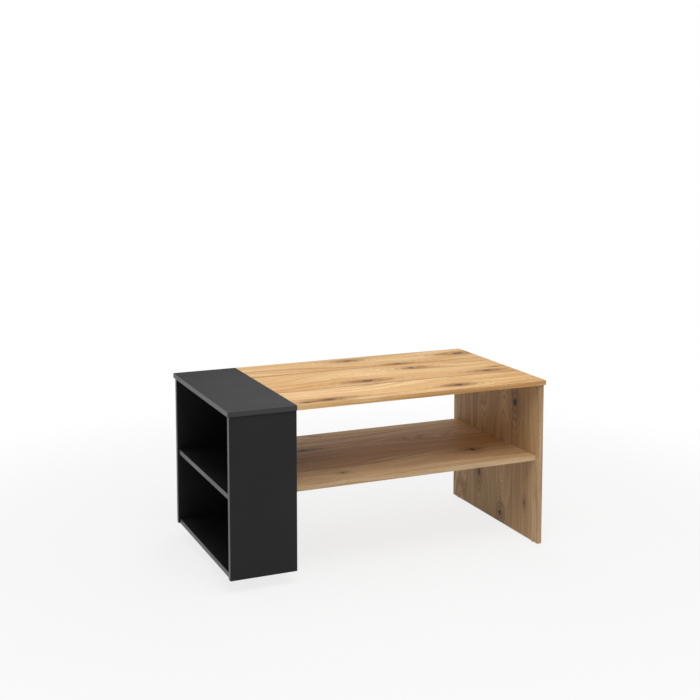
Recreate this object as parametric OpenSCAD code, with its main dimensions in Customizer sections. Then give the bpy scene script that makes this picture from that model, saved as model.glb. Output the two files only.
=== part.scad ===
// Coffee table with a two-tone top: a black open cabinet at one end, and an oak
// top, shelf and end panel beside it. Flat boards with banded edges, held by cam
// fittings, dowels and two angle brackets. The top does not move.
// +X runs along the table to the oak end panel, -Y is the front, Z = 0 is the floor.

/* [Overall] */
// Length of the table
table_l = 1100; // [900:1:1400]
// Width of the table
table_w = 600; // [480:1:760]
// Height of the table's upper face
table_h = 560; // [460:1:700]
// Length of the black part of the top, which is also the cabinet's length
dark_l = 220; // [180:1:300]
// How far the top stands out past the panels below it
overhang = 5; // [2:0.5:12]

/* [Boards] */
// Thickness of every board
board_t = 16; // [13:0.1:22]
// Thickness of the edge bands
band_t = 1; // [0.8:0.1:2]
// Radius of the two outer corners of a band
band_r = 0.6; // [0.2:0.1:0.8]

/* [Shelves] */
// Height of the upper face of both middle shelves
shelf_z = 300; // [240:1:360]
// How far the oak shelf is set back from the edges of the top
shelf_setback = 25; // [10:1:60]
// How far the cabinet's shelf and bottom are set back from the panels' open ends
niche_setback = 5; // [2:0.5:20]

/* [Supports] */
// Height of the cabinet's underside above the floor
cabinet_rise = 41; // [32:1:60]
// Diameter of a foot's stem
foot_d = 30; // [24:1:34]
// Diameter of a foot's mounting flange
flange_d = 50; // [46:1:60]
// Thickness of a foot's mounting flange
flange_t = 4; // [3:0.5:6]
// Diameter of a foot's sole
sole_d = 36; // [30:1:44]
// Distance from the open end of the cabinet to the first pair of feet
foot_inset_x = 65; // [45:1:80]
// Distance from the divider's outer face to the second pair of feet
foot_inset_inner = 55; // [45:1:70]
// Distance from the front and rear faces of the cabinet to the feet
foot_inset_y = 130; // [60:1:160]
// Thickness of the glides under the end panel
glide_t = 3; // [2:0.5:6]
// Diameter of the glides
glide_d = 15; // [10:0.5:16]
// Distance from the end panel's edges to its glides
glide_inset = 35; // [20:1:60]

/* [Cam fittings] */
// Diameter of a cam
cam_d = 15; // [12:0.5:18]
// Distance from a board's edge to the centre of a cam
cam_reach = 24; // [20:0.5:34]
// Board left behind a cam pocket
cam_skin = 3; // [2:0.1:4]
// Diameter of a connecting bolt's shank
bolt_d = 7; // [6:0.1:7.5]
// Diameter of the bore that a bolt's shank passes through
bolt_bore_d = 8; // [7.6:0.1:9]
// Diameter of a bolt's thread
thread_d = 5; // [4:0.1:6]
// Diameter of a cam's cover cap
cap_d = 17; // [15.5:0.1:20]
// Height that a cover cap stands out of the board
cap_t = 1; // [0.6:0.1:1.5]

/* [Dowels] */
// Diameter of the dowels
dowel_d = 8; // [6:0.5:8]
// Length of a dowel that sits in a board's edge
dowel_edge_l = 19; // [15:0.5:25]
// Board left behind a blind hole in a board's face
face_skin = 4; // [3:0.5:6]

/* [Brackets and screws] */
// Leg length of the angle brackets
bracket_leg = 30; // [26:1:40]
// Sheet thickness of the angle brackets
bracket_t = 2; // [1.5:0.1:3]
// Distance of the angle brackets from the table's centre line
bracket_y = 110; // [90:1:130]
// Diameter of the wood screws
screw_d = 3.5; // [3:0.1:4]
// Diameter of the screw heads
screw_head_d = 7; // [6:0.1:8]
// Height of the screw heads
screw_head_t = 2; // [1.5:0.1:3]

/* [Fitting places] */
// Distance from an edge of the top or a shelf to its cams
cam_inset = 105; // [80:1:120]
// Distance from an edge of the top or a shelf to its outer dowels
dowel_inset = 50; // [35:1:60]
// Distance from the long shelf's edges to its outer dowels
shelf_dowel_inset = 30; // [20:1:50]
// Distance from the end panel's edges to its cams
end_cam_inset = 145; // [120:1:170]
// Distance from the end panel's edges to its outer dowels
end_dowel_inset = 60; // [40:1:90]
// Distance from either end of the cabinet to the cams of its shelf and bottom
side_cam_inset = 45; // [40:1:60]
// Distance from the cabinet's open end to the first pair of cams under the black top
roof_cam_outer = 75; // [65:1:85]
// Distance from the divider to the second pair of cams under the black top
roof_cam_inner = 40; // [30:1:50]
// Distance from the cabinet's open end to the first pair of dowels under the black top
roof_dowel_outer = 28; // [20:1:40]
// Distance from the cabinet's inner walls to the outer dowels between bottom and divider
bottom_dowel_inset = 80; // [60:1:100]
// Distance below a board to the divider's cams
divider_cam_drop = 90; // [70:1:110]
// Distance from a board to the divider's dowels
divider_dowel_drop = 40; // [30:1:50]
// Distance of the divider's upper dowels from the table's centre line
divider_top_dowel_y = 60; // [30:1:70]

/* [Hidden] */

$fn = 48;

// Colours
black = [0.16, 0.16, 0.17];
black_edge = [0.24, 0.24, 0.25];
oak = [0.80, 0.66, 0.48];
oak_edge = [0.74, 0.58, 0.40];
zinc = [0.72, 0.73, 0.75];
steel = [0.60, 0.61, 0.63];
beech = [0.86, 0.74, 0.56];
plastic = [0.10, 0.10, 0.11];

// Clearances
fit = 0.05; // radial clearance of a fitting in its own hole
deep = 1; // a blind hole goes this much deeper than what it holds
over = 1; // a cut runs this far past the face it opens through
cam_recess = 0.4; // a cam sits this far below its board's face

// Faces of the table
left_x = -table_l/2;
right_x = table_l/2;
half_w = table_w/2;
top_z = table_h - board_t; // underside of the top
joint_x = left_x + dark_l; // where the black top meets the oak top
panel_left = left_x + overhang;
end_out = right_x - overhang;
end_in = end_out - board_t;
panel_y = half_w - overhang; // outer faces of the cabinet's panels
wall_y = panel_y - board_t; // inner faces of the cabinet's panels
divider_in = joint_x - board_t;
niche_x = panel_left + niche_setback;
shelf_y = half_w - shelf_setback;
mid_z = shelf_z - board_t/2; // middle of the shelves
floor_z = cabinet_rise + board_t/2; // middle of the cabinet's bottom
top_mid = top_z + board_t/2;
divider_mid = joint_x - board_t/2;
end_mid = end_out - board_t/2;

// Fittings
cam_depth = board_t - cam_skin;
head_gap = 0.2; // radial clearance of a bolt's head in its cam
cam_bore_d = bolt_d + 2*head_gap;
neck_d = 4.4; // neck behind a bolt's head
head_l = 4; // length of a bolt's head
neck_l = 3; // length of a bolt's neck
slot_w = 1.2; // cross recess of a cam
slot_l = 6.5;
slot_t = 1.6;
cap_pin_d = 3; // pin under a cover cap
cap_pin_l = 2.4;
cap_pin_bore = cap_pin_l + deep;
bite_l = board_t - face_skin - deep; // depth of a thread or a dowel in a board's face
screw_l = board_t - face_skin;
nail_d = 2.5;
nail_l = 18;
nail_head_d = 6;
nail_head_t = 1;
nail_recess = 1; // a nail's head sits this far above the floor
foot_screws_each = 3;
foot_screw_r = (flange_d + foot_d)/4;
sole_t = 6;
sole_slope = 4;
sole_round = 1.5;
bracket_w = 30;
screw_row = 8; // half the distance between a bracket's two screws
screw_end = 10; // distance of a bracket's screws from the end of its leg
screw_out = bracket_leg - screw_end;

// Places along the table: the cabinet's own fittings
cab_cam_x = [panel_left + side_cam_inset, divider_in - side_cam_inset];
cab_dowel_x = [(cab_cam_x[0] + cab_cam_x[1])/2];
top_cam_x = [panel_left + roof_cam_outer, divider_in - roof_cam_inner];
top_dowel_x = [panel_left + roof_dowel_outer, (top_cam_x[0] + top_cam_x[1])/2];
shelf_cam_y = half_w - cam_inset;
shelf_dowel_y = half_w - dowel_inset;
end_cam_y = panel_y - end_cam_inset;

// A fitting's place is [position, turn]. In its own frame +Z points into the board
// that holds the cam, and +X to the face that the cam is let into.
down_in = [0, 180, 0];
right_under = [0, 90, 0];
left_under = [0, 90, 180];
end_top_at = [for (s = [-1, 1]) [[end_mid, s*end_cam_y, top_z], down_in]];
end_top_dowel_at = [for (s = [-1, 0, 1]) [[end_mid, s*(panel_y - end_dowel_inset), top_z], down_in]];
joint_at = [for (s = [-1, 1]) [[joint_x, s*shelf_cam_y, top_mid], right_under]];
joint_dowel_at = [for (s = [-1, 0, 1]) [[joint_x, s*shelf_dowel_y, top_mid], right_under]];
shelf_end_at = [for (s = [-1, 1]) [[end_in, s*shelf_cam_y, mid_z], left_under]];
shelf_end_dowel_at = [for (s = [-1, 0, 1]) [[end_in, s*(shelf_y - shelf_dowel_inset), mid_z], left_under]];
oak_divider_at = [for (s = [-1, 1]) [[joint_x, s*shelf_cam_y, mid_z], right_under]];
cab_divider_at = [for (s = [-1, 1]) [[divider_in, s*shelf_cam_y, mid_z], left_under]];
through_dowel_at = [for (s = [-1, 0, 1]) [[joint_x, s*(shelf_y - shelf_dowel_inset), mid_z], right_under]];
function side_at(xs, z) = [for (s = [-1, 1], x = xs) [[x, s*wall_y, z], [0, 90, -s*90]]];
shelf_side_at = side_at(cab_cam_x, mid_z);
shelf_side_dowel_at = side_at(cab_dowel_x, mid_z);
bottom_side_at = side_at(cab_cam_x, floor_z);
bottom_side_dowel_at = side_at(cab_dowel_x, floor_z);
bottom_divider_dowel_at = [for (s = [-1, 0, 1])
    [[divider_in, s*(wall_y - bottom_dowel_inset), floor_z], left_under]];
divider_cam_z = [top_z - divider_cam_drop, shelf_z - board_t - divider_cam_drop];
divider_dowel_z = [top_z - divider_dowel_drop, shelf_z - board_t - divider_dowel_drop,
    cabinet_rise + board_t + divider_dowel_drop];
function upright_at(zs) = [for (s = [-1, 1], z = zs) [[divider_mid, s*wall_y, z], [s*90, 180, 0]]];
divider_at = upright_at(divider_cam_z);
divider_dowel_at = upright_at(divider_dowel_z);
function roof_at(xs) = [for (s = [-1, 1], x = xs)
    [[x, s*(panel_y - board_t/2), top_z], [180, 0, -s*90]]];
roof_cam_at = roof_at(top_cam_x);
roof_dowel_at = roof_at(top_dowel_x);
divider_roof_dowel_at = [for (s = [-1, 1]) [[divider_mid, s*divider_top_dowel_y, top_z], down_in]];
foot_x = [panel_left + foot_inset_x, joint_x - foot_inset_inner];
foot_y = panel_y - foot_inset_y;
glide_at = [for (s = [-1, 1]) [end_mid, s*(panel_y - glide_inset), 0]];

module put(places) {
    for (p = places)
        translate(p[0]) rotate(p[1]) children();
}

module slab(low, high) {
    translate(low) cube(high - low);
}

// Cuts, in a fitting's own frame

module cam_cut() {
    translate([board_t/2 - cam_depth, 0, cam_reach])
        rotate([0, 90, 0]) cylinder(d = cam_d + 2*fit, h = cam_depth + over);
    translate([0, 0, -over]) cylinder(d = bolt_bore_d, h = cam_reach + over);
}

module thread_cut() {
    translate([0, 0, -bite_l - deep]) cylinder(d = thread_d + 2*fit, h = bite_l + deep + over);
}

module dowel_edge_cut() {
    translate([0, 0, -over]) cylinder(d = dowel_d + 2*fit, h = dowel_edge_l + deep + over);
}

module dowel_face_cut() {
    translate([0, 0, -bite_l - deep]) cylinder(d = dowel_d + 2*fit, h = bite_l + deep + over);
}

module through_cut(d) {
    translate([0, 0, -board_t - over]) cylinder(d = d, h = board_t + 2*over);
}

module screw_cut() {
    translate([0, 0, -over]) cylinder(d = screw_d + 2*fit, h = screw_l + over + deep);
}

// Fittings, in their own frame

module cam() {
    difference() {
        translate([board_t/2 - cam_depth + fit, 0, cam_reach])
            rotate([0, 90, 0]) cylinder(d = cam_d, h = cam_depth - fit - cam_recess);
        cylinder(d = cam_bore_d, h = cam_reach + head_l/2 + deep);
        translate([board_t/2 - cam_recess - slot_t, 0, cam_reach]) {
            for (turn = [0, 90])
                rotate([turn, 0, 0]) translate([0, -slot_l/2, -slot_w/2]) cube([slot_t + over, slot_l, slot_w]);
        }
        translate([board_t/2 - cap_pin_bore, 0, cam_reach])
            rotate([0, 90, 0]) cylinder(d = cap_pin_d + 2*fit, h = cap_pin_bore + over);
    }
}

module bolt_shank() {
    head_z = cam_reach - head_l/2;
    cylinder(d = bolt_d, h = head_z - neck_l);
    cylinder(d = neck_d, h = cam_reach);
    translate([0, 0, head_z]) cylinder(d = bolt_d, h = head_l);
}

module bolt() {
    bolt_shank();
    translate([0, 0, -bite_l]) cylinder(d = thread_d, h = bite_l + over);
}

module double_bolt() {
    bolt_shank();
    translate([0, 0, -board_t]) {
        cylinder(d = bolt_d, h = board_t + over);
        mirror([0, 0, 1]) bolt_shank();
    }
}

module dowel(face_l) {
    translate([0, 0, -face_l]) cylinder(d = dowel_d, h = face_l + dowel_edge_l);
}

module cover_cap() {
    translate([board_t/2, 0, cam_reach]) rotate([0, 90, 0]) {
        cylinder(d = cap_d, h = cap_t);
        translate([0, 0, -cap_pin_l]) cylinder(d = cap_pin_d, h = cap_pin_l + cap_t/2);
    }
}

module sheet_cut(sheet) {
    translate([0, 0, -sheet - over]) cylinder(d = screw_d + 2*fit, h = sheet + 2*over);
}

// A wood screw that stands in the face Z = 0 and holds a sheet of the given thickness
module screw(sheet) {
    translate([0, 0, -sheet]) cylinder(d = screw_d, h = sheet + screw_l);
    translate([0, 0, -sheet - screw_head_t]) cylinder(d = screw_head_d, h = screw_head_t);
}

// Boards

module black_top() {
    color(black) difference() {
        slab([left_x + band_t, -half_w + band_t, top_z], [joint_x, half_w - band_t, table_h]);
        put(joint_at) thread_cut();
        put(joint_dowel_at) mirror([0, 0, 1]) dowel_edge_cut();
        put(roof_cam_at) thread_cut();
        put(roof_dowel_at) dowel_face_cut();
        put(divider_roof_dowel_at) dowel_face_cut();
    }
}

module oak_top() {
    color(oak) difference() {
        slab([joint_x, -half_w + band_t, top_z], [right_x - band_t, half_w - band_t, table_h]);
        put(joint_at) cam_cut();
        put(joint_dowel_at) dowel_edge_cut();
        put(end_top_at) thread_cut();
        put(end_top_dowel_at) dowel_face_cut();
        bracket_places() bracket_top_screws() screw_cut();
    }
}

// A side panel of the cabinet, at the front for side = -1 and at the rear for side = 1
module side_panel(side) {
    color(black) difference() {
        slab([panel_left + band_t, min(side*panel_y, side*wall_y), cabinet_rise],
            [joint_x - band_t, max(side*panel_y, side*wall_y), top_z]);
        put(roof_cam_at) cam_cut();
        put(roof_dowel_at) dowel_edge_cut();
        put(concat(shelf_side_at, bottom_side_at, divider_at)) thread_cut();
        put(concat(shelf_side_dowel_at, bottom_side_dowel_at, divider_dowel_at)) dowel_face_cut();
    }
}

module cabinet_divider() {
    color(black) difference() {
        slab([divider_in, -wall_y, cabinet_rise], [joint_x, wall_y, top_z]);
        put(divider_at) cam_cut();
        put(divider_dowel_at) dowel_edge_cut();
        put(divider_roof_dowel_at) dowel_edge_cut();
        put(oak_divider_at) through_cut(bolt_bore_d);
        put(through_dowel_at) through_cut(dowel_d + 2*fit);
        put(bottom_divider_dowel_at) dowel_face_cut();
        bracket_places() bracket_side_screws() screw_cut();
    }
}

module cabinet_shelf() {
    color(black) difference() {
        slab([niche_x + band_t, -wall_y, shelf_z - board_t], [divider_in, wall_y, shelf_z]);
        put(concat(shelf_side_at, cab_divider_at)) cam_cut();
        put(shelf_side_dowel_at) dowel_edge_cut();
        put(through_dowel_at) translate([0, 0, -board_t]) mirror([0, 0, 1]) dowel_edge_cut();
    }
}

module cabinet_bottom() {
    color(black) difference() {
        slab([niche_x + band_t, -wall_y, cabinet_rise], [divider_in, wall_y, cabinet_rise + board_t]);
        put(bottom_side_at) cam_cut();
        put(concat(bottom_side_dowel_at, bottom_divider_dowel_at)) dowel_edge_cut();
        for (x = foot_x, side = [-1, 1])
            foot_place(x, side) flange_screws() screw_cut();
    }
}

module oak_shelf() {
    color(oak) difference() {
        slab([joint_x, -shelf_y + band_t, shelf_z - board_t], [end_in, shelf_y - band_t, shelf_z]);
        put(concat(oak_divider_at, shelf_end_at)) cam_cut();
        put(concat(through_dowel_at, shelf_end_dowel_at)) dowel_edge_cut();
    }
}

module oak_end_panel() {
    color(oak) difference() {
        slab([end_in, -panel_y + band_t, glide_t], [end_out, panel_y - band_t, top_z]);
        put(end_top_at) cam_cut();
        put(end_top_dowel_at) dowel_edge_cut();
        put(shelf_end_at) thread_cut();
        put(shelf_end_dowel_at) dowel_face_cut();
        for (p = glide_at)
            translate(p) cylinder(d = nail_d + 2*fit, h = nail_l + deep);
    }
}

// Edge bands

// A strip that stands along Z with the middle of its outer face at the origin, facing -Y
module band(length) {
    linear_extrude(length, center = true) intersection() {
        translate([-board_t/2, 0]) square([board_t, band_t]);
        union() {
            translate([-board_t/2, band_r]) square([board_t, band_t]);
            translate([band_r - board_t/2, 0]) square([board_t - 2*band_r, band_t]);
            for (s = [-1, 1])
                translate([s*(board_t/2 - band_r), band_r]) circle(band_r);
        }
    }
}

// A band on an upright edge; turn 0 faces -Y, 90 faces +X, 180 faces +Y and -90 faces -X
module tall_band(middle, length, turn) {
    translate(middle) rotate([0, 0, turn]) band(length);
}

// A band on the edge of a flat board, turned in the same way
module flat_band(middle, length, turn) {
    translate(middle) rotate([0, 0, turn]) rotate([0, 90, 0]) band(length);
}

module top_bands(end, x0, x1) {
    for (s = [-1, 1])
        flat_band([(x0 + x1)/2, s*half_w, top_mid], x1 - x0, s < 0 ? 0 : 180);
    flat_band([end*table_l/2, 0, top_mid], table_w, end*90);
}

module black_top_bands() {
    color(black_edge) top_bands(-1, left_x + band_t, joint_x);
}

module oak_top_bands() {
    color(oak_edge) top_bands(1, joint_x, right_x - band_t);
}

module side_panel_bands(side) {
    y = side*(panel_y - board_t/2);
    z = (cabinet_rise + top_z)/2;
    color(black_edge) {
        tall_band([panel_left, y, z], top_z - cabinet_rise, -90);
        tall_band([joint_x, y, z], top_z - cabinet_rise, 90);
    }
}

module cabinet_shelf_band() {
    color(black_edge) flat_band([niche_x, 0, mid_z], 2*wall_y, -90);
}

module cabinet_bottom_band() {
    color(black_edge) flat_band([niche_x, 0, floor_z], 2*wall_y, -90);
}

module oak_shelf_bands() {
    color(oak_edge) for (s = [-1, 1])
        flat_band([(joint_x + end_in)/2, s*shelf_y, mid_z], end_in - joint_x, s < 0 ? 0 : 180);
}

module end_panel_bands() {
    color(oak_edge) for (s = [-1, 1])
        tall_band([end_mid, s*panel_y, (glide_t + top_z)/2], top_z - glide_t, s < 0 ? 0 : 180);
}

// Supports

module foot_place(x, side) {
    translate([x, side*foot_y, cabinet_rise]) children();
}

module flange_screws() {
    for (i = [0 : foot_screws_each - 1])
        rotate(i*360/foot_screws_each) translate([foot_screw_r, 0, 0]) children();
}

module foot(x, side) {
    color(plastic) foot_place(x, side) difference() {
        rotate_extrude() polygon([[0, 0], [flange_d/2, 0], [flange_d/2, -flange_t], [foot_d/2, -flange_t],
            [foot_d/2, sole_t + sole_slope - cabinet_rise], [sole_d/2, sole_t - cabinet_rise],
            [sole_d/2, sole_round - cabinet_rise], [sole_d/2 - sole_round, -cabinet_rise],
            [0, -cabinet_rise]]);
        flange_screws() sheet_cut(flange_t);
    }
}

module foot_screws() {
    color(zinc) for (x = foot_x, side = [-1, 1])
        foot_place(x, side) flange_screws() screw(flange_t);
}

module end_glides() {
    color(plastic) for (p = glide_at)
        translate(p) difference() {
            cylinder(d = glide_d, h = glide_t);
            translate([0, 0, -over]) cylinder(d = nail_head_d + 2*fit, h = over + nail_recess + nail_head_t);
            cylinder(d = nail_d + 2*fit, h = glide_t + over);
        }
}

module glide_nails() {
    color(zinc) for (p = glide_at)
        translate(p) {
            translate([0, 0, nail_recess]) cylinder(d = nail_head_d, h = nail_head_t);
            translate([0, 0, nail_recess]) cylinder(d = nail_d, h = nail_l - nail_recess);
        }
}

// Angle brackets between the divider and the oak top

module bracket_place(side) {
    translate([joint_x, side*bracket_y, top_z]) children();
}

module bracket_places() {
    for (side = [-1, 1])
        bracket_place(side) children();
}

module bracket_top_screws() {
    for (s = [-1, 1])
        translate([screw_out, s*screw_row, 0]) children();
}

module bracket_side_screws() {
    for (s = [-1, 1])
        translate([0, s*screw_row, -screw_out]) rotate([0, -90, 0]) children();
}

module bracket(side) {
    color(zinc) bracket_place(side) difference() {
        rotate([90, 0, 0]) linear_extrude(bracket_w, center = true)
            polygon([[0, 0], [bracket_leg, 0], [bracket_leg, -bracket_t], [bracket_t, -bracket_t],
                [bracket_t, -bracket_leg], [0, -bracket_leg]]);
        bracket_top_screws() sheet_cut(bracket_t);
        bracket_side_screws() sheet_cut(bracket_t);
    }
}

module bracket_screws() {
    color(zinc) bracket_places() {
        bracket_top_screws() screw(bracket_t);
        bracket_side_screws() screw(bracket_t);
    }
}

module cams(places) {
    color(zinc) put(places) cam();
}

module bolts(places) {
    color(steel) put(places) bolt();
}

module dowels(places) {
    color(beech) put(places) dowel(bite_l);
}

black_top();
oak_top();
side_panel(-1);  // cabinet_front_panel
side_panel(1);  // cabinet_rear_panel
cabinet_divider();
cabinet_shelf();
cabinet_bottom();
oak_shelf();
oak_end_panel();
black_top_bands();
oak_top_bands();
side_panel_bands(-1);  // front_panel_bands
side_panel_bands(1);  // rear_panel_bands
cabinet_shelf_band();
cabinet_bottom_band();
oak_shelf_bands();
end_panel_bands();
foot(foot_x[0], -1);  // foot_front_outer
foot(foot_x[1], -1);  // foot_front_inner
foot(foot_x[0], 1);  // foot_rear_outer
foot(foot_x[1], 1);  // foot_rear_inner
foot_screws();
end_glides();
glide_nails();
bracket(-1);  // top_bracket_front
bracket(1);  // top_bracket_rear
bracket_screws();
cams(end_top_at);  // end_top_cams
bolts(end_top_at);  // end_top_bolts
dowels(end_top_dowel_at);  // end_top_dowels
cams(joint_at);  // top_joint_cams
bolts(joint_at);  // top_joint_bolts
color(beech) put(joint_dowel_at) dowel(dowel_edge_l);  // top_joint_dowels
cams(shelf_end_at);  // shelf_end_cams
bolts(shelf_end_at);  // shelf_end_bolts
dowels(shelf_end_dowel_at);  // shelf_end_dowels
cams(oak_divider_at);  // oak_shelf_divider_cams
cams(cab_divider_at);  // cabinet_shelf_divider_cams
color(steel) put(oak_divider_at) double_bolt();  // through_bolts
color(beech) put(through_dowel_at) dowel(board_t + dowel_edge_l);  // through_dowels
cams(shelf_side_at);  // cabinet_shelf_cams
bolts(shelf_side_at);  // cabinet_shelf_bolts
dowels(shelf_side_dowel_at);  // cabinet_shelf_dowels
cams(bottom_side_at);  // bottom_cams
bolts(bottom_side_at);  // bottom_bolts
dowels(concat(bottom_side_dowel_at, bottom_divider_dowel_at));  // bottom_dowels
cams(divider_at);  // divider_cams
bolts(divider_at);  // divider_bolts
dowels(divider_dowel_at);  // divider_dowels
cams(roof_cam_at);  // black_top_cams
bolts(roof_cam_at);  // black_top_bolts
dowels(concat(roof_dowel_at, divider_roof_dowel_at));  // black_top_dowels
color(black) put(concat(divider_at, roof_cam_at)) cover_cap();  // black_cam_caps
color(oak) put(end_top_at) cover_cap();  // oak_cam_caps
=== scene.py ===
import bpy
import bmesh
import math
from mathutils import Matrix, Vector


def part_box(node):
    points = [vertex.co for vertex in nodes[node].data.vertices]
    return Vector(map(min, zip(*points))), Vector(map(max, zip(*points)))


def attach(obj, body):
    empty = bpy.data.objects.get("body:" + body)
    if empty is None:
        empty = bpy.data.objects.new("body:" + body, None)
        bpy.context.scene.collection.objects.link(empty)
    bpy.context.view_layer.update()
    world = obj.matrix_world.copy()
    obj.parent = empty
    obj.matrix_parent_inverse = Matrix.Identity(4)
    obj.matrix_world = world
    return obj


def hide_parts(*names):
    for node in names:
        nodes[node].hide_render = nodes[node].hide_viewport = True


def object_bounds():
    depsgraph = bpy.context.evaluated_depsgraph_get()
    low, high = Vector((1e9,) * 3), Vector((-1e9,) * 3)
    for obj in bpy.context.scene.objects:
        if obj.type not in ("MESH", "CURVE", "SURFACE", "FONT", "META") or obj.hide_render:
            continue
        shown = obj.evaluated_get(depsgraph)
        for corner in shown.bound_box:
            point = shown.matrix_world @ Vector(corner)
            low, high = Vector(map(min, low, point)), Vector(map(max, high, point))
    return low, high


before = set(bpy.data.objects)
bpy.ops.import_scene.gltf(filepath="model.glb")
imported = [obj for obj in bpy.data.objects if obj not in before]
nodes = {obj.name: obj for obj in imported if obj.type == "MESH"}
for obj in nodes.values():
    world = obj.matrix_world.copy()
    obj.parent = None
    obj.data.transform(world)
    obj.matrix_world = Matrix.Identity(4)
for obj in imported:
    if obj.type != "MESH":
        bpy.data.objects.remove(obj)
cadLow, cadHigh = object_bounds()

scene = bpy.context.scene
tableHeight = cadHigh.z - cadLow.z


# small helpers for node trees

def feed(tree, socket, value):
    if isinstance(value, bpy.types.NodeSocket):
        tree.links.new(value, socket)
    else:
        socket.default_value = value


def add(tree, kind, inputs=(), **settings):
    made = tree.nodes.new(kind)
    for name, value in settings.items():
        setattr(made, name, value)
    for name, value in dict(inputs).items():
        feed(tree, made.inputs[name], value)
    return made


def calc(tree, operation, *values, clamp=False):
    made = add(tree, "ShaderNodeMath", operation=operation, use_clamp=clamp)
    for i, value in enumerate(values):
        feed(tree, made.inputs[i], value)
    return made.outputs[0]


def ramp(tree, value, low, high, start=0.0, end=1.0):
    # a smooth step from start to end while value goes from low to high
    made = add(tree, "ShaderNodeMapRange", {"Value": value, "From Min": low, "From Max": high,
               "To Min": start, "To Max": end}, interpolation_type="SMOOTHSTEP")
    return made.outputs["Result"]


def mixColor(tree, factor, first, second, blend="MIX"):
    made = add(tree, "ShaderNodeMix", data_type="RGBA", blend_type=blend)
    feed(tree, made.inputs[0], factor)
    feed(tree, made.inputs[6], first)
    feed(tree, made.inputs[7], second)
    return made.outputs[2]


def noise(tree, vector, stretch, detail=2.0, roughness=0.5, distortion=0.0):
    scaled = add(tree, "ShaderNodeVectorMath", {0: vector, 1: stretch}, operation="MULTIPLY")
    made = add(tree, "ShaderNodeTexNoise", {"Vector": scaled.outputs[0], "Scale": 1.0, "Detail": detail,
               "Roughness": roughness, "Distortion": distortion})
    return made.outputs[0]


def centred(tree, value, size):
    return calc(tree, "MULTIPLY", calc(tree, "SUBTRACT", value, 0.5), size)


def newGroup(name, inputs, outputs):
    tree = bpy.data.node_groups.new(name, "ShaderNodeTree")
    for label, kind, value in inputs:
        socket = tree.interface.new_socket(label, in_out="INPUT", socket_type="NodeSocket" + kind)
        if value is not None:
            socket.default_value = value
    for label, kind in outputs:
        tree.interface.new_socket(label, in_out="OUTPUT", socket_type="NodeSocket" + kind)
    return tree, tree.nodes.new("NodeGroupInput").outputs, tree.nodes.new("NodeGroupOutput").inputs


def fillGroup(tree, group, inputs):
    made = tree.nodes.new("ShaderNodeGroup")
    made.node_tree = group
    for name, value in inputs.items():
        feed(tree, made.inputs[name], value)
    return made


def linear(red, green, blue):
    # a colour as it is written on screen, 0 to 255, turned into the linear colour that nodes use
    def channel(c):
        c = c / 255
        return c / 12.92 if c <= 0.04045 else ((c + 0.055) / 1.055) ** 2.4
    return (channel(red), channel(green), channel(blue), 1.0)


# camera

cameraSetup = {
    "place": (-1.619, -3.665, 1.432),    # metres from the middle of the table's footprint
    "tilt": 83.89,                       # degrees up from straight down
    "turn": -23.49,
    "lens": 62.6,
    "shift": -0.15,
}

camera = bpy.data.objects.new("camera", bpy.data.cameras.new("camera"))
scene.collection.objects.link(camera)
camera.location = cameraSetup["place"]
camera.rotation_euler = (math.radians(cameraSetup["tilt"]), 0, math.radians(cameraSetup["turn"]))
camera.data.lens = cameraSetup["lens"]
camera.data.shift_y = cameraSetup["shift"]
scene.camera = camera
print("camera placed")


# shared effects

def makeKnotGroup():
    tree, given, out = newGroup("knot", [
        ("Vector", "Vector", None), ("Centre", "Vector", None), ("Length", "Float", 0.014),
        ("Width", "Float", 0.007), ("Push", "Float", 0.7), ("Smudge", "Float", 0.6)],
        [("Lift", "Float"), ("Core", "Float"), ("Halo", "Float"), ("Ring", "Float")])
    away = add(tree, "ShaderNodeVectorMath", {0: given["Vector"], 1: given["Centre"]},
               operation="SUBTRACT")
    part = add(tree, "ShaderNodeSeparateXYZ", {0: away.outputs[0]})
    along = calc(tree, "DIVIDE", part.outputs[0], given["Length"])
    across = calc(tree, "DIVIDE", part.outputs[1], given["Width"])

    def spread(length, width):
        a = calc(tree, "POWER", calc(tree, "ABSOLUTE", calc(tree, "DIVIDE", along, length)), 2.0)
        b = calc(tree, "POWER", calc(tree, "ABSOLUTE", calc(tree, "DIVIDE", across, width)), 2.0)
        return calc(tree, "ADD", a, b)

    ragged = centred(tree, noise(tree, given["Vector"], (70, 190, 3), detail=3), 1.1)
    radius = calc(tree, "ADD", calc(tree, "SQRT", spread(1, 1)), ragged)
    feed(tree, out["Core"], ramp(tree, radius, 0.55, 1.05, 1.0, 0.0))
    bulge = calc(tree, "EXPONENT", calc(tree, "MULTIPLY", spread(2.8, 2.4), -1.0))
    pushed = calc(tree, "MULTIPLY", calc(tree, "MULTIPLY", part.outputs[1], given["Push"]), bulge)
    feed(tree, out["Lift"], calc(tree, "MULTIPLY", pushed, -1.0))
    shade = ramp(tree, calc(tree, "EXPONENT", calc(tree, "MULTIPLY", spread(3.8, 2.6), -1.0)), 0.04, 0.9)
    streaky = ramp(tree, noise(tree, given["Vector"], (11, 150, 3), detail=3), 0.3, 0.6, 0.25, 1.0)
    smudge = calc(tree, "MULTIPLY", shade, streaky)
    feed(tree, out["Halo"], calc(tree, "MULTIPLY", smudge, given["Smudge"]))
    far = calc(tree, "ADD", calc(tree, "SQRT", spread(1.6, 1.0)), calc(tree, "MULTIPLY", ragged, 0.5))
    wave = calc(tree, "SINE", calc(tree, "MULTIPLY", far, 6.5))
    near = calc(tree, "EXPONENT", calc(tree, "MULTIPLY", spread(6.0, 3.6), -1.0))
    feed(tree, out["Ring"], calc(tree, "MULTIPLY", ramp(tree, wave, 0.1, 1.0), near))
    return tree


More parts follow.
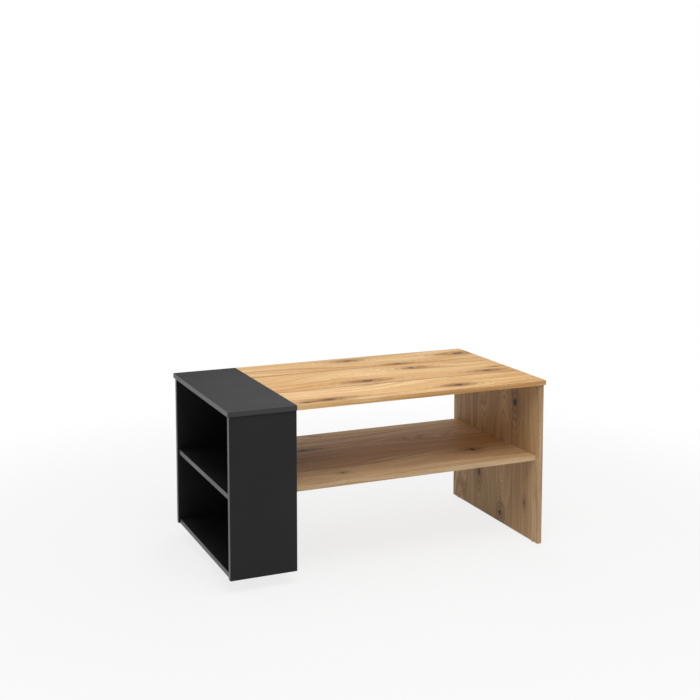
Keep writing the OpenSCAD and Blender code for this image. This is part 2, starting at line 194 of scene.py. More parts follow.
def makePlankGroup():
    # splits a printed sheet into planks, each cut from another place of the sheet
    tree, given, out = newGroup("planks", [
        ("Vector", "Vector", None), ("Width", "Float", 0.245), ("Seed", "Float", 0.0),
        ("Joint", "Float", 1.0)],
        [("Vector", "Vector"), ("Seam", "Float"), ("Tone", "Float")])
    part = add(tree, "ShaderNodeSeparateXYZ", {0: given["Vector"]})
    place = calc(tree, "ADD", calc(tree, "DIVIDE", part.outputs[1], given["Width"]), 0.5)
    index = calc(tree, "FLOOR", place)
    inside = calc(tree, "SUBTRACT", place, index)
    edge = calc(tree, "MULTIPLY", calc(tree, "MINIMUM", inside, calc(tree, "SUBTRACT", 1.0, inside)),
                given["Width"])
    line = calc(tree, "MAXIMUM", ramp(tree, edge, 0.0014, 0.0032, 1.0, 0.0),
                ramp(tree, edge, 0.002, 0.009, 0.6, 0.0))
    broken = ramp(tree, noise(tree, given["Vector"], (7, 4, 1)), 0.36, 0.58, 0.7, 1.0)
    feed(tree, out["Seam"], calc(tree, "MULTIPLY", calc(tree, "MULTIPLY", line, broken), given["Joint"]))
    moved = add(tree, "ShaderNodeCombineXYZ", {
        0: calc(tree, "ADD", part.outputs[0], calc(tree, "MULTIPLY", index, 3.7)),
        1: part.outputs[1],
        2: calc(tree, "ADD", calc(tree, "MULTIPLY", index, 5.3), given["Seed"])})
    feed(tree, out["Vector"], moved.outputs[0])
    pick = add(tree, "ShaderNodeTexWhiteNoise", {"W": calc(tree, "ADD", index, given["Seed"])},
               noise_dimensions="1D")
    feed(tree, out["Tone"], pick.outputs[0])
    return tree


def makeOakGroup():
    # the printed oak: X of the vector runs along the grain, Y across it, in metres
    tree, given, out = newGroup("oak", [
        ("Vector", "Vector", None), ("Lift", "Float", 0.0), ("Core", "Float", 0.0),
        ("Halo", "Float", 0.0), ("Ring", "Float", 0.0), ("Seam", "Float", 0.0), ("Tone", "Float", 0.5),
        ("Pale", "Color", None), ("Mid", "Color", None), ("Deep", "Color", None),
        ("Knot", "Color", None), ("Figure", "Float", 0.2)],
        [("Color", "Color"), ("Roughness", "Float"), ("Height", "Float")])
    part = add(tree, "ShaderNodeSeparateXYZ", {0: given["Vector"]})
    wander = centred(tree, noise(tree, given["Vector"], (2.6, 9, 1), detail=2), 0.03)
    arch = calc(tree, "MULTIPLY", calc(tree, "SUBTRACT",
                noise(tree, given["Vector"], (1.5, 6.5, 1), detail=0), 0.5), given["Figure"])
    shifted = calc(tree, "ADD", calc(tree, "ADD", part.outputs[1], given["Lift"]),
                   calc(tree, "ADD", wander, arch))
    grain = add(tree, "ShaderNodeCombineXYZ", {0: part.outputs[0], 1: shifted, 2: part.outputs[2]})
    grain = grain.outputs[0]
    broad = noise(tree, grain, (0.8, 24, 1), detail=4, roughness=0.68)
    rings = noise(tree, grain, (1.2, 118, 1), detail=2, roughness=0.55)
    fine = noise(tree, grain, (8, 560, 1), detail=2, roughness=0.6)
    pores = ramp(tree, noise(tree, grain, (60, 1500, 1), detail=1), 0.56, 0.7)
    blotch = noise(tree, given["Vector"], (3, 7, 1), detail=2)

    tone = calc(tree, "ADD", ramp(tree, broad, 0.36, 0.66), centred(tree, given["Tone"], 0.35))
    tone = calc(tree, "ADD", tone, centred(tree, blotch, 1.2), clamp=True)
    color = mixColor(tree, tone, given["Pale"], given["Mid"])
    color = mixColor(tree, ramp(tree, rings, 0.46, 0.7, 0.0, 0.6), color, given["Deep"])
    color = mixColor(tree, ramp(tree, broad, 0.6, 0.78, 0.0, 0.6), color, given["Deep"])
    color = mixColor(tree, ramp(tree, fine, 0.42, 0.72, 0.0, 0.42), color, given["Deep"])
    color = mixColor(tree, calc(tree, "MULTIPLY", given["Ring"], 0.75), color, given["Deep"])
    color = mixColor(tree, calc(tree, "MULTIPLY", pores, 0.32), color, given["Knot"])
    dark = mixColor(tree, 0.4, given["Deep"], given["Knot"])
    color = mixColor(tree, calc(tree, "MINIMUM", given["Halo"], 1.0), color, dark)
    color = mixColor(tree, calc(tree, "MULTIPLY", given["Seam"], 0.9), color, dark)
    color = mixColor(tree, calc(tree, "MULTIPLY", given["Core"], 0.92), color, given["Knot"])
    feed(tree, out["Color"], color)
    rough = calc(tree, "ADD", ramp(tree, fine, 0.3, 0.7, 0.44, 0.54),
                 calc(tree, "MULTIPLY", pores, 0.12))
    feed(tree, out["Roughness"], rough)
    sunk = calc(tree, "ADD", calc(tree, "MULTIPLY", pores, 0.6),
                calc(tree, "MULTIPLY", given["Core"], 0.5))
    sunk = calc(tree, "ADD", sunk, calc(tree, "MULTIPLY", given["Seam"], 0.8))
    feed(tree, out["Height"], calc(tree, "SUBTRACT", calc(tree, "MULTIPLY", fine, 0.35), sunk))
    return tree


def makeChipboardGroup():
    # the raw particle core that shows at edges without a band and inside drilled holes
    tree, given, out = newGroup("chipboard", [("Vector", "Vector", None)],
                                [("Color", "Color"), ("Height", "Float")])
    flakes = add(tree, "ShaderNodeTexVoronoi", {"Vector": given["Vector"], "Scale": 420.0,
                 "Randomness": 1.0})
    dust = noise(tree, given["Vector"], (900, 900, 900), detail=2)
    color = mixColor(tree, flakes.outputs["Color"], linear(176, 140, 98), linear(214, 184, 142))
    color = mixColor(tree, ramp(tree, dust, 0.55, 0.75, 0.0, 0.6), color, linear(120, 88, 58))
    feed(tree, out["Color"], color)
    feed(tree, out["Height"], calc(tree, "ADD", flakes.outputs["Distance"], dust))
    return tree


def makeFaceGroup():
    # 1 on the two broad faces of a board whose thickness runs along the given axis, 0 on its edges
    tree, given, out = newGroup("broadFace", [("Thickness", "Vector", None)], [("Face", "Float")])
    side = add(tree, "ShaderNodeNewGeometry").outputs["True Normal"]
    part = add(tree, "ShaderNodeVectorMath", {0: side, 1: given["Thickness"]}, operation="DOT_PRODUCT")
    toward = calc(tree, "ABSOLUTE", part.outputs["Value"])
    feed(tree, out["Face"], calc(tree, "GREATER_THAN", toward, 0.7))
    return tree


def makeStippleGroup():
    # the fine emboss of melamine and of moulded plastic
    tree, given, out = newGroup("stipple", [("Vector", "Vector", None), ("Scale", "Float", 900.0)],
                                [("Height", "Float"), ("Patch", "Float")])
    scaled = add(tree, "ShaderNodeVectorMath", {0: given["Vector"], "Scale": given["Scale"]},
                 operation="SCALE")
    feed(tree, out["Height"], noise(tree, scaled.outputs[0], (1, 1, 1), detail=2))
    feed(tree, out["Patch"], noise(tree, given["Vector"], (6, 6, 6), detail=3))
    return tree


knotGroup = makeKnotGroup()
plankGroup = makePlankGroup()
oakGroup = makeOakGroup()
chipboardGroup = makeChipboardGroup()
faceGroup = makeFaceGroup()
stippleGroup = makeStippleGroup()
print("shared effects made")


# materials

# the top and its front band: the one oak decor painted paler and warmer, as painted warm light falling
# on the top
topWarmLitColors = {
    "Pale": linear(255, 218, 160),
    "Mid": linear(232, 178, 112),
    "Deep": linear(178, 122, 62),
    "Knot": linear(72, 44, 10),
}
# the shelf, end panel and their bands: the same oak decor painted duller and cooler, as painted cooler
# shade on the other boards
sideCoolShadeColors = {
    "Pale": linear(234, 202, 156),
    "Mid": linear(206, 168, 124),
    "Deep": linear(158, 118, 76),
    "Knot": linear(48, 34, 18),
}

# knots: (place along the grain, place across it, half length, half width, push, smudge)
topKnots = [
    (0.070, 0.250, 0.018, 0.010, 0.75, 0.95),
    (0.216, 0.138, 0.018, 0.007, 0.50, 0.90),
    (0.226, 0.056, 0.017, 0.010, 0.95, 0.70),
    (0.004, -0.074, 0.026, 0.011, 0.75, 1.00),
    (0.500, 0.222, 0.026, 0.012, 0.55, 0.95),
    (0.450, -0.085, 0.022, 0.009, 0.60, 0.95),
    (0.510, -0.040, 0.012, 0.004, 0.20, 0.80),
    (0.253, -0.244, 0.018, 0.011, 0.85, 1.00),
    (-0.214, -0.268, 0.028, 0.009, 0.40, 1.00),
    (-0.290, -0.276, 0.024, 0.006, 0.40, 0.95),
]
shelfKnots = [
    (0.372, -0.123, 0.013, 0.012, 0.75, 0.70),
    (-0.160, 0.092, 0.020, 0.007, 0.60, 0.80),
    (-0.135, -0.196, 0.007, 0.006, 0.60, 0.50),
]
endKnots = [
    (0.453, -0.141, 0.018, 0.014, 0.80, 0.60),
    (0.142, 0.102, 0.020, 0.010, 0.70, 0.60),
    (0.036, -0.049, 0.011, 0.011, 0.70, 0.60),
    (0.119, -0.208, 0.010, 0.006, 0.60, 0.50),
]

finish = {
    "blackLaminate": linear(33, 33, 34),
    "blackLaminatePale": linear(38, 38, 39),
    "blackBand": linear(38, 38, 39),
    "zinc": linear(206, 208, 212),
    "zincDull": linear(188, 188, 180),
    "plastic": linear(30, 30, 31),
    "oakPlastic": linear(206, 164, 118),
    "beechPale": linear(226, 190, 144),
    "beechDeep": linear(190, 146, 100),
}


def newMaterial(name):
    material = bpy.data.materials.new(name)
    material.use_nodes = True
    tree = material.node_tree
    tree.nodes.clear()
    shader = add(tree, "ShaderNodeBsdfPrincipled")
    add(tree, "ShaderNodeOutputMaterial", {"Surface": shader.outputs[0]})
    place = add(tree, "ShaderNodeTexCoord").outputs["Object"]
    return material, tree, shader, place


def bump(tree, shader, height, depth, strength=1.0):
    made = add(tree, "ShaderNodeBump", {"Height": height, "Distance": depth, "Strength": strength})
    tree.links.new(made.outputs[0], shader.inputs["Normal"])


def turned(tree, place, order, seed):
    # puts the axis along the grain first, and a number of its own third
    part = add(tree, "ShaderNodeSeparateXYZ", {0: place}).outputs
    return add(tree, "ShaderNodeCombineXYZ", {0: part[order[0]], 1: part[order[1]], 2: seed}).outputs[0]


def oakBoard(name, order, thickness, knots, seed, colors, figure=0.2, joint=0.25, plankWidth=0.245):
    material, tree, shader, place = newMaterial(name)
    sheet = turned(tree, place, order, 0.0)
    lift, core, halo, ring = 0.0, 0.0, 0.0, 0.0
    for along, across, length, width, push, smudge in knots:
        knot = fillGroup(tree, knotGroup, {"Vector": sheet, "Centre": (along, across, 0),
                         "Length": length, "Width": width, "Push": push, "Smudge": smudge}).outputs
        lift = calc(tree, "ADD", lift, knot["Lift"])
        core = calc(tree, "MAXIMUM", core, knot["Core"])
        halo = calc(tree, "MAXIMUM", halo, knot["Halo"])
        ring = calc(tree, "MAXIMUM", ring, knot["Ring"])
    planks = fillGroup(tree, plankGroup, {"Vector": sheet, "Width": plankWidth, "Seed": seed,
                       "Joint": joint}).outputs
    oak = fillGroup(tree, oakGroup, {"Vector": planks["Vector"], "Lift": lift, "Core": core,
                    "Halo": halo, "Ring": ring, "Seam": planks["Seam"], "Tone": planks["Tone"],
                    "Figure": figure, **colors}).outputs
    chips = fillGroup(tree, chipboardGroup, {"Vector": place}).outputs
    face = fillGroup(tree, faceGroup, {"Thickness": thickness}).outputs["Face"]
    feed(tree, shader.inputs["Base Color"], mixColor(tree, face, chips["Color"], oak["Color"]))
    rough = add(tree, "ShaderNodeMix", {0: face, 2: 0.85, 3: oak["Roughness"]}).outputs[0]
    feed(tree, shader.inputs["Roughness"], rough)
    height = add(tree, "ShaderNodeMix", {0: face, 2: chips["Height"], 3: oak["Height"]}).outputs[0]
    shader.inputs["Specular IOR Level"].default_value = 0.3
    bump(tree, shader, height, 0.0002, 0.6)
    return material


def oakBand(name, order, seed, colors):
    material, tree, shader, place = newMaterial(name)
    sheet = turned(tree, place, order, seed)
    oak = fillGroup(tree, oakGroup, {"Vector": sheet, "Figure": 0.03, **colors}).outputs
    feed(tree, shader.inputs["Base Color"], oak["Color"])
    feed(tree, shader.inputs["Roughness"], oak["Roughness"])
    bump(tree, shader, oak["Height"], 0.00012, 0.6)
    return material


def blackBoard(name, thickness):
    material, tree, shader, place = newMaterial(name)
    grain = fillGroup(tree, stippleGroup, {"Vector": place, "Scale": 700.0}).outputs
    chips = fillGroup(tree, chipboardGroup, {"Vector": place}).outputs
    face = fillGroup(tree, faceGroup, {"Thickness": thickness}).outputs["Face"]
    black = mixColor(tree, ramp(tree, grain["Patch"], 0.3, 0.7), finish["blackLaminate"],
                     finish["blackLaminatePale"])
    feed(tree, shader.inputs["Base Color"], mixColor(tree, face, chips["Color"], black))
    shader.inputs["Specular IOR Level"].default_value = 0.22
    feed(tree, shader.inputs["Roughness"], ramp(tree, grain["Patch"], 0.3, 0.7, 0.46, 0.54))
    bump(tree, shader, grain["Height"], 0.00008, 0.5)
    return material


def moulded(name, color, scale, low, high):
    material, tree, shader, place = newMaterial(name)
    grain = fillGroup(tree, stippleGroup, {"Vector": place, "Scale": scale}).outputs
    paler = tuple(min(1.0, c * 1.25 + 0.003) for c in color[:3]) + (1.0,)
    cloud = ramp(tree, grain["Patch"], 0.3, 0.7)
    feed(tree, shader.inputs["Base Color"], mixColor(tree, cloud, color, paler))
    feed(tree, shader.inputs["Roughness"], ramp(tree, grain["Patch"], 0.3, 0.7, low, high))
    bump(tree, shader, grain["Height"], 0.0001, 0.5)
    return material


def zincPlate():
    material, tree, shader, place = newMaterial("zinc")
    shader.inputs["Metallic"].default_value = 1.0
    grain = fillGroup(tree, stippleGroup, {"Vector": place, "Scale": 1400.0}).outputs
    cloud = ramp(tree, grain["Patch"], 0.35, 0.7)
    feed(tree, shader.inputs["Base Color"], mixColor(tree, cloud, finish["zinc"], finish["zincDull"]))
    feed(tree, shader.inputs["Roughness"], ramp(tree, grain["Patch"], 0.3, 0.7, 0.3, 0.44))
    bump(tree, shader, grain["Height"], 0.00006, 0.5)
    return material


def beech():
    material, tree, shader, place = newMaterial("beech")
    flecks = ramp(tree, noise(tree, place, (900, 900, 160), detail=2), 0.45, 0.65)
    wood = mixColor(tree, flecks, finish["beechPale"], finish["beechDeep"])
    feed(tree, shader.inputs["Base Color"], wood)
    shader.inputs["Roughness"].default_value = 0.7
    bump(tree, shader, flecks, 0.0001, 0.4)
    return material


flat, upright, sideways = (0, 0, 1), (1, 0, 0), (0, 1, 0)
materials = {
    "oakTop": oakBoard("oakTop", (0, 1), flat, topKnots, 2.0, topWarmLitColors, 0.2, 1.0),
    "oakShelf": oakBoard("oakShelf", (0, 1), flat, shelfKnots, 11.0, sideCoolShadeColors),
    "oakEnd": oakBoard("oakEnd", (2, 1), upright, endKnots, 23.0, sideCoolShadeColors, 0.22),
    "oakBandLong": oakBand("oakBandLong", (0, 2), 31.0, sideCoolShadeColors),
    "oakBandUpright": oakBand("oakBandUpright", (2, 0), 37.0, sideCoolShadeColors),
    "blackFlat": blackBoard("blackFlat", flat),
    "blackSide": blackBoard("blackSide", sideways),
    "blackDivider": blackBoard("blackDivider", upright),
    "oakTopBand": oakBand("oakTopBand", (0, 2), 33.0, topWarmLitColors),
    "blackBand": moulded("blackBand", finish["blackBand"], 900.0, 0.34, 0.42),
    "blackPlastic": moulded("blackPlastic", finish["plastic"], 1200.0, 0.42, 0.55),
    "oakPlastic": moulded("oakPlastic", finish["oakPlastic"], 1200.0, 0.42, 0.55),
    "zinc": zincPlate(),
    "beech": beech(),
}

wear = {
    "oak_top": "oakTop", "oak_shelf": "oakShelf", "oak_end_panel": "oakEnd",
    "oak_top_bands": "oakTopBand", "oak_shelf_bands": "oakBandLong", "end_panel_bands": "oakBandUpright",
    "black_top": "blackFlat", "cabinet_shelf": "blackFlat", "cabinet_bottom": "blackFlat",
    "cabinet_front_panel": "blackSide", "cabinet_rear_panel": "blackSide",
    "cabinet_divider": "blackDivider",
    "black_top_bands": "blackBand", "front_panel_bands": "blackBand", "rear_panel_bands": "blackBand",
    "cabinet_shelf_band": "blackBand", "cabinet_bottom_band": "blackBand",
    "end_glides": "blackPlastic", "black_cam_caps": "blackPlastic", "oak_cam_caps": "oakPlastic",
}


def finishFor(name):
    if name in wear:
        return materials[wear[name]]
    if name.endswith("dowels"):
        return materials["beech"]
    if name.startswith("foot_") and name != "foot_screws":
        return materials["blackPlastic"]
    return materials["zinc"]


for name, part in nodes.items():
    part.data.materials.clear()
    part.data.materials.append(finishFor(name))
print("materials given to", len(nodes), "parts")


# small hardware, modelled in place of its plain solids

def fittings(node):
    # where the head of each separate solid of a node is, and which way it faces
    shape = bmesh.new()
    shape.from_mesh(nodes[node].data)
    bmesh.ops.remove_doubles(shape, verts=shape.verts, dist=0.000001)
    seen, found = set(), []
    for start in shape.verts:
        if start in seen:
            continue
        seen.add(start)
        group = [start]
        for vert in group:
            for other in (edge.other_vert(vert) for edge in vert.link_edges):
                if other not in seen:
                    seen.add(other)
                    group.append(other)
        found.append([vert.co.copy() for vert in group])
    shape.free()
    return [headOf(points) for points in found]


def headOf(points):
    low = Vector(min(p[i] for p in points) for i in range(3))
    high = Vector(max(p[i] for p in points) for i in range(3))
    size, middle = high - low, (high + low) / 2
    axis = min(range(3), key=lambda i: abs(size[i - 1] - size[i - 2]))
    radius = size[axis - 1] / 2
    rim = [p[axis] for p in points if math.hypot(p[axis - 1] - middle[axis - 1],
           p[axis - 2] - middle[axis - 2]) > radius * 0.95]
    way = 1 if sum(rim) / len(rim) > middle[axis] else -1
    facing = Vector((0, 0, 0))
    facing[axis] = way
    place = middle.copy()
    place[axis] = high[axis] if way > 0 else low[axis]
    return Matrix.Translation(place) @ facing.to_track_quat("Z", "Y").to_matrix().to_4x4()


def turnedShape(profile, steps):
    # a profile of (radius, height) points spun about Z; it starts and ends on the axis
    shape = bmesh.new()
    verts = [shape.verts.new((radius, 0, height)) for radius, height in profile]
    edges = [shape.edges.new(pair) for pair in zip(verts, verts[1:])]
    bmesh.ops.spin(shape, geom=verts + edges, cent=(0, 0, 0), axis=(0, 0, 1), angle=2 * math.pi,
                   steps=steps, use_merge=True)
    bmesh.ops.remove_doubles(shape, verts=shape.verts, dist=0.0000005)
    bmesh.ops.recalc_face_normals(shape, faces=shape.faces)
    return shape


def slab(corners, depth):
    # a flat outline pulled along a vector and closed on all sides
    shape = bmesh.new()
    face = shape.faces.new([shape.verts.new(corner) for corner in corners])
    raised = bmesh.ops.extrude_face_region(shape, geom=[face], use_keep_orig=True)["geom"]
    moved = [g for g in raised if isinstance(g, bmesh.types.BMVert)]
    bmesh.ops.translate(shape, verts=moved, vec=depth)
    bmesh.ops.recalc_face_normals(shape, faces=shape.faces)
    return shape


def join(into, part, matrix):
    mesh = bpy.data.meshes.new("part")
    part.to_mesh(mesh)
    mesh.transform(matrix)
    into.from_mesh(mesh)
    bpy.data.meshes.remove(mesh)


def show(name, shape, material, slotName, *replaced):
    mesh = bpy.data.meshes.new(name)
    shape.to_mesh(mesh)
    shape.free()
    mesh.shade_smooth()
    mesh.set_sharp_from_angle(angle=math.radians(32))
    mesh.materials.append(materials[material])
    piece = bpy.data.objects.new(name, mesh)
    scene.collection.objects.link(piece)
    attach(piece, "root")
    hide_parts(*replaced)
    return piece


def cut(shape, cutter):
    # takes one bmesh away from another and gives the result as a bmesh
    objects = []
    for name, part in (("body", shape), ("cutter", cutter)):
        mesh = bpy.data.meshes.new(name)
        part.to_mesh(mesh)
        part.free()
        made = bpy.data.objects.new(name, mesh)
        scene.collection.objects.link(made)
        objects.append(made)
    tool = objects[0].modifiers.new("cut", "BOOLEAN")
    tool.object, tool.operation, tool.solver = objects[1], "DIFFERENCE", "EXACT"
    result = bmesh.new()
    result.from_object(objects[0], bpy.context.evaluated_depsgraph_get())
    for made in objects:
        mesh = made.data
        bpy.data.objects.remove(made)
        bpy.data.meshes.remove(mesh)
    return result


screw = {
    "head": 0.0035, "headHeight": 0.002, "shank": 0.00175, "length": 0.012, "pitch": 0.0016,
    "thread": 0.0004, "slotLength": 0.0038, "slotWidth": 0.0008, "slotDepth": 0.0012, "steps": 24,
}


def makeScrew(sheet):
    # a pan head with a cross recess, its top at Z = 0, over a threaded shank
    head, top = screw["head"], -screw["headHeight"]
    profile = [(0, 0), (head * 0.5, -0.0001), (head * 0.8, -0.0005), (head * 0.97, -0.0011), (head, top)]
    core, z = screw["shank"] - screw["thread"], top - sheet
    profile += [(screw["shank"], top), (screw["shank"], z)]
    for i in range(int((screw["length"] - 0.003) / screw["pitch"])):
        profile += [(core, z - screw["pitch"] * 0.45), (screw["shank"], z - screw["pitch"])]
        z -= screw["pitch"]
    profile += [(core, z - 0.0006), (0, top - sheet - screw["length"])]
    body = turnedShape(profile, screw["steps"])
    far, near, deep = screw["slotLength"] / 2, screw["slotWidth"] / 2, screw["slotDepth"]
    quarter = [(far, -near), (far, near), (near, near)]
    turns = [Matrix.Rotation(math.radians(90 * i), 2) for i in range(4)]
    corners = [turn @ Vector(point) for turn in turns for point in quarter]
    outline = [(corner.x, corner.y, -deep) for corner in corners]
    return cut(body, slab(outline, (0, 0, 2 * deep)))


def manyOf(prototype, places):
    shape = bmesh.new()
    for matrix in places:
        join(shape, prototype, matrix)
    prototype.free()
    return shape


footFlangeT, bracketT = 0.004, 0.002     # thickness of what each screw holds
for name, node, sheet in (("footScrews", "foot_screws", footFlangeT),
                          ("bracketScrews", "bracket_screws", bracketT)):
    show(name, manyOf(makeScrew(sheet), fittings(node)), "zinc", "zinc", node)
print("screws made")

cap = {
    "radius": 0.0085, "height": 0.001, "dish": 0.0062, "pin": 0.0015, "pinLength": 0.0024,
    "steps": 48,
}


def makeCap():
    radius, low = cap["radius"], -cap["height"]
    pin, tip = cap["pin"], low - cap["pinLength"]
    face = [(0, -0.0002), (cap["dish"] * 0.9, -0.0002), (cap["dish"], 0), (radius - 0.0006, 0),
            (radius - 0.0002, -0.0002), (radius, -0.0006)]
    back = [(radius, low), (pin, low), (pin, tip + 0.0004), (pin - 0.0004, tip), (0, tip)]
    return turnedShape(face + back, cap["steps"])


show("blackCaps", manyOf(makeCap(), fittings("black_cam_caps")), "blackPlastic", "black_plastic",
     "black_cam_caps")
show("oakCaps", manyOf(makeCap(), fittings("oak_cam_caps")), "oakPlastic", "oak_plastic", "oak_cam_caps")
print("cover caps made")

foot = {
    "stem": 0.015, "sole": 0.018, "soleHeight": 0.006, "slope": 0.004, "flange": 0.004, "round": 0.0012,
    "ribs": 3, "ribThickness": 0.0022, "ribDrop": 0.012, "steps": 64,
}


def makeFoot(node):
    low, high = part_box(node)
    rise, flange = high.z - low.z, (high.x - low.x) / 2
    stem, sole, under = foot["stem"], foot["sole"], high.z - low.z - foot["flange"]
    edge, neck = foot["round"], foot["soleHeight"] + foot["slope"]
    pad = [(0, 0.0006), (sole * 0.55, 0.0006), (sole * 0.6, 0), (sole - edge, 0),
           (sole - edge * 0.3, edge * 0.3), (sole, edge), (sole, foot["soleHeight"])]
    post = [(stem + 0.0005, neck), (stem, neck + 0.001), (stem, under - 0.002),
            (stem + 0.0006, under - 0.0006), (stem + 0.001, under)]
    plate = [(flange - edge * 0.5, under), (flange, under + edge * 0.5), (flange, rise), (0, rise)]
    shape = turnedShape(pad + post + plate, foot["steps"])
    for i in range(foot["ribs"]):
        y = -foot["ribThickness"] / 2
        rib = slab([(stem - 0.001, y, under + 0.0005), (flange - 0.002, y, under + 0.0005),
                    (flange - 0.002, y, under - 0.001), (stem - 0.001, y, under - foot["ribDrop"])],
                   (0, foot["ribThickness"], 0))
        turn = math.radians(60 + 360 * i / foot["ribs"])
        join(shape, rib, Matrix.Rotation(turn, 4, "Z"))
        rib.free()
    middle = (low + high) / 2
    bmesh.ops.translate(shape, verts=shape.verts, vec=(middle.x, middle.y, low.z))
    return shape


for side in ("front", "rear"):
    for place in ("outer", "inner"):
        node = "foot_" + side + "_" + place
        show(side + place.capitalize() + "Foot", makeFoot(node), "blackPlastic", "black_plastic", node)
print("feet made")

bracket = {"sheet": 0.002, "corner": 0.005, "bend": 0.0022, "rib": 0.009, "ribThickness": 0.0035}


def makeBracket(node):
    low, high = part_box(node)
    x, z, sheet = low.x, high.z, bracket["sheet"]
    outline = [(x, z), (high.x, z), (high.x, z - sheet), (x + sheet, z - sheet), (x + sheet, low.z),
               (x, low.z)]
    shape = slab([(px, low.y, pz) for px, pz in outline], (0, high.y - low.y, 0))

    def at(edge, px, pz):
        return all(abs(v.co.x - px) < 0.00001 and abs(v.co.z - pz) < 0.00001 for v in edge.verts)

    def across(edge, first, second):
        ends = sorted((round(v.co.x, 6), round(v.co.z, 6)) for v in edge.verts)
        wanted = sorted((round(px, 6), round(pz, 6)) for px, pz in (first, second))
        return ends == wanted

    corners = [e for e in shape.edges
               if across(e, outline[1], outline[2]) or across(e, outline[4], outline[5])]
    bmesh.ops.bevel(shape, geom=corners, offset=bracket["corner"], affect="EDGES", segments=5,
                    profile=0.5, material=-1)
    inner = [e for e in shape.edges if at(e, x + sheet, z - sheet)]
    bmesh.ops.bevel(shape, geom=inner, offset=bracket["bend"], affect="EDGES", segments=4,
                    profile=0.5, material=-1)
    reach, start = bracket["rib"], (low.y + high.y - bracket["ribThickness"]) / 2
    points = [(x + sheet * 0.5, z - sheet * 0.5), (x + reach, z - sheet * 0.5), (x + reach, z - sheet),
              (x + sheet, z - reach), (x + sheet * 0.5, z - reach)]
    rib = slab([(px, start, pz) for px, pz in points], (0, bracket["ribThickness"], 0))
    join(shape, rib, Matrix.Identity(4))
    rib.free()
    return shape


for side in ("front", "rear"):
    node = "top_bracket_" + side
    piece = show(side + "Bracket", makeBracket(node), "zinc", "zinc", node)
    soften = piece.modifiers.new("soften", "BEVEL")
    soften.width, soften.segments, soften.limit_method = 0.0003, 2, "ANGLE"
print("brackets made")

glide = {"radius": 0.0075, "round": 0.001, "recess": 0.0032, "steps": 48}


def makeGlides():
    low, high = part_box("end_glides")
    radius, edge, thick = glide["radius"], glide["round"], high.z - low.z
    recess = glide["recess"]
    shape = bmesh.new()
    for y in (low.y + radius, high.y - radius):
        part = turnedShape([(0, 0.002), (recess * 0.9, 0.002), (recess, 0.0004), (recess + 0.0004, 0),
                            (radius - edge, 0), (radius - edge * 0.3, edge * 0.3), (radius, edge),
                            (radius, thick), (0, thick)], glide["steps"])
        join(shape, part, Matrix.Translation(((low.x + high.x) / 2, y, low.z)))
        part.free()
    return shape


show("endGlides", makeGlides(), "blackPlastic", "black_plastic", "end_glides")
print("glides made")


# floor, lights and surroundings

lighting = {
    "lampDistance": 3.2,
    "lampSize": 1.5,
    "keyAim": (-0.15, -0.68, 1.15),      # from the table towards the lamp
    "keyPower": 32.0,
    "backAim": (0.3, 0.8, 1.1),
    "backPower": 9.0,
    "roofPower": 20.0,
    "roofSize": 2.6,
    "roofHeight": 2.6,
    "skyDiffuse": 0.29,
    "skyGlossy": 0.42,
    "floorSize": 30.0,
    "floorWhite": 0.8,                  # share of the floor that is plain white to the camera
    "floorFade": (0.9, 2.2),             # metres over which the floor goes over to plain white
}


def lamp(name, place, size, power):
    light = bpy.data.lights.new(name, "AREA")
    light.shape = "DISK"
    light.size = size
    light.energy = power
    made = bpy.data.objects.new(name, light)
    scene.collection.objects.link(made)
    made.location = place
    aim = Vector((0, 0, tableHeight / 2)) - Vector(place)
    made.rotation_euler = aim.to_track_quat("-Z", "Y").to_euler()
    return made


for name in ("key", "back"):
    away = Vector(lighting[name + "Aim"]).normalized() * lighting["lampDistance"]
    lamp(name, away, lighting["lampSize"], lighting[name + "Power"])
lamp("roof", (0, 0, lighting["roofHeight"]), lighting["roofSize"], lighting["roofPower"])


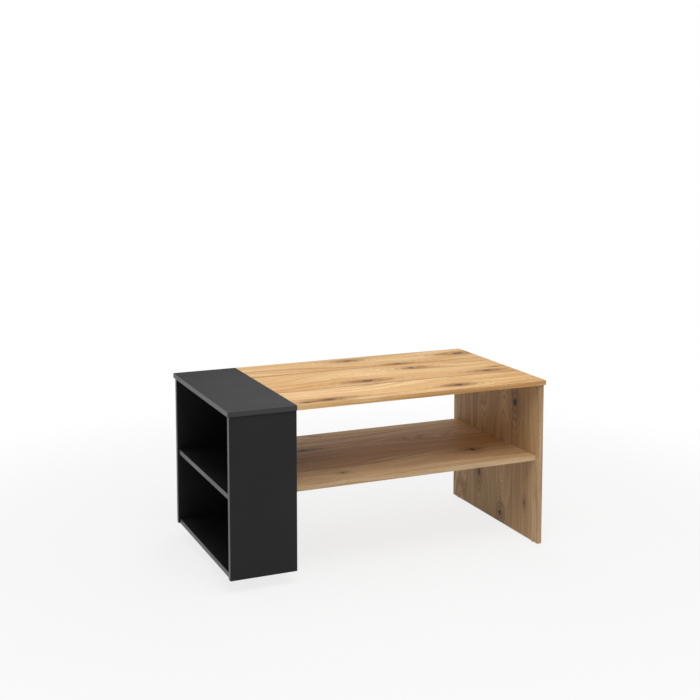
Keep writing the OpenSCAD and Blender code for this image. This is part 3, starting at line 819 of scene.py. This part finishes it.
def whiteToEye(tree):
    # 1 for rays from the camera, and for those seen in or through a surface
    path = add(tree, "ShaderNodeLightPath").outputs
    seen = calc(tree, "MAXIMUM", path["Is Camera Ray"], path["Is Glossy Ray"])
    return calc(tree, "MAXIMUM", seen, path["Is Transmission Ray"])


def makeWorld():
    world = bpy.data.worlds.new("studio")
    world.use_nodes = True
    tree = world.node_tree
    tree.nodes.clear()
    path = add(tree, "ShaderNodeLightPath").outputs
    strength = add(tree, "ShaderNodeMix", {0: path["Is Glossy Ray"], 2: lighting["skyDiffuse"],
                   3: lighting["skyGlossy"]}).outputs[0]
    strength = calc(tree, "MAXIMUM", strength, path["Is Camera Ray"])
    strength = calc(tree, "MAXIMUM", strength, path["Is Transmission Ray"])
    back = add(tree, "ShaderNodeBackground", {"Color": (1, 1, 1, 1), "Strength": strength})
    add(tree, "ShaderNodeOutputWorld", {"Surface": back.outputs[0]})
    scene.world = world


def makeFloor():
    shape = bmesh.new()
    bmesh.ops.create_grid(shape, x_segments=1, y_segments=1, size=lighting["floorSize"] / 2)
    bmesh.ops.translate(shape, verts=shape.verts, vec=(0, 0, cadLow.z - 0.0005))
    mesh = bpy.data.meshes.new("floor")
    shape.to_mesh(mesh)
    shape.free()
    floor = bpy.data.objects.new("floor", mesh)
    scene.collection.objects.link(floor)
    material, tree, shader, place = newMaterial("floor")
    shader.inputs["Base Color"].default_value = (0.86, 0.86, 0.86, 1)
    shader.inputs["Roughness"].default_value = 0.9
    shader.inputs["Specular IOR Level"].default_value = 0.0
    seen = whiteToEye(tree)
    far = add(tree, "ShaderNodeVectorMath", {0: place}, operation="LENGTH").outputs["Value"]
    share = ramp(tree, far, *lighting["floorFade"], lighting["floorWhite"], 1.0)
    white = add(tree, "ShaderNodeEmission", {"Color": (1, 1, 1, 1), "Strength": 1.0})
    mixed = add(tree, "ShaderNodeMixShader", {0: calc(tree, "MULTIPLY", seen, share),
                1: shader.outputs[0], 2: white.outputs[0]})
    output = next(n for n in tree.nodes if n.type == "OUTPUT_MATERIAL")
    tree.links.new(mixed.outputs[0], output.inputs["Surface"])
    mesh.materials.append(material)


makeWorld()
makeFloor()
scene.view_settings.view_transform = "Standard"
print("floor and lights made")
